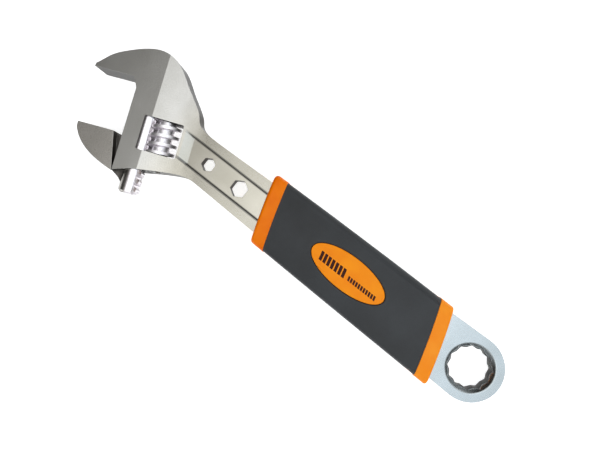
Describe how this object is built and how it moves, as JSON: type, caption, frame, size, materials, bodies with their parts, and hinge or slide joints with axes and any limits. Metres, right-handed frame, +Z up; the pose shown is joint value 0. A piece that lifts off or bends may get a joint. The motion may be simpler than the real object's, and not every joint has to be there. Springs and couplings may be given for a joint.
{
  "type": "adjustable wrench",
  "caption": "Adjustable wrench with an angled head, a worm-driven movable jaw, a two-colour moulded grip, hexagon holes in the shank and a twelve-point ring at the handle's end.",
  "frame": {"origin": "centre of the ring on the mid-plane", "axes": "+X along the handle to the head, +Y towards the movable jaw, +Z up through the ring"},
  "size_m": [0.2554, 0.0712, 0.0194],
  "materials": {
    "forged_steel": "satin nickel-chrome plate",
    "jaw_steel": "satin plate, ground faces",
    "worm_steel": "bright plate",
    "pin_steel": "turned",
    "spring_steel": "drawn wire",
    "collar_plastic": "moulded, satin",
    "grip_rubber": "moulded, fine grain",
    "badge_plastic": "smooth, printed"
  },
  "bodies": {
    "root": {"wrench_body": "forged_steel", "worm_pin": "pin_steel", "worm_spring": "spring_steel", "front_collar": "collar_plastic", "grip_sleeve": "grip_rubber", "rear_collar": "collar_plastic", "badge_front": "badge_plastic", "badge_back": "badge_plastic"},
    "jaw": {"movable_jaw": "jaw_steel"},
    "worm": {"adjusting_worm": "worm_steel"}
  },
  "joints": [
    {"name": "worm_spin", "type": "hinge", "parent": "root", "child": "worm", "pos_m": [0.18885, 0.00489, 0], "axis": [-0.3746, 0.9272, 0], "range_deg": [-32.1, 2360.1]},
    {"name": "jaw_slide", "type": "slide", "parent": "root", "child": "jaw", "axis": [-0.3746, 0.9272, 0], "range_m": [-0.0295, 0.0004]}
  ],
  "couplings": [
    {"joint": "worm_spin", "follows": "jaw_slide", "rad_per_m": -1396.3}
  ]
}
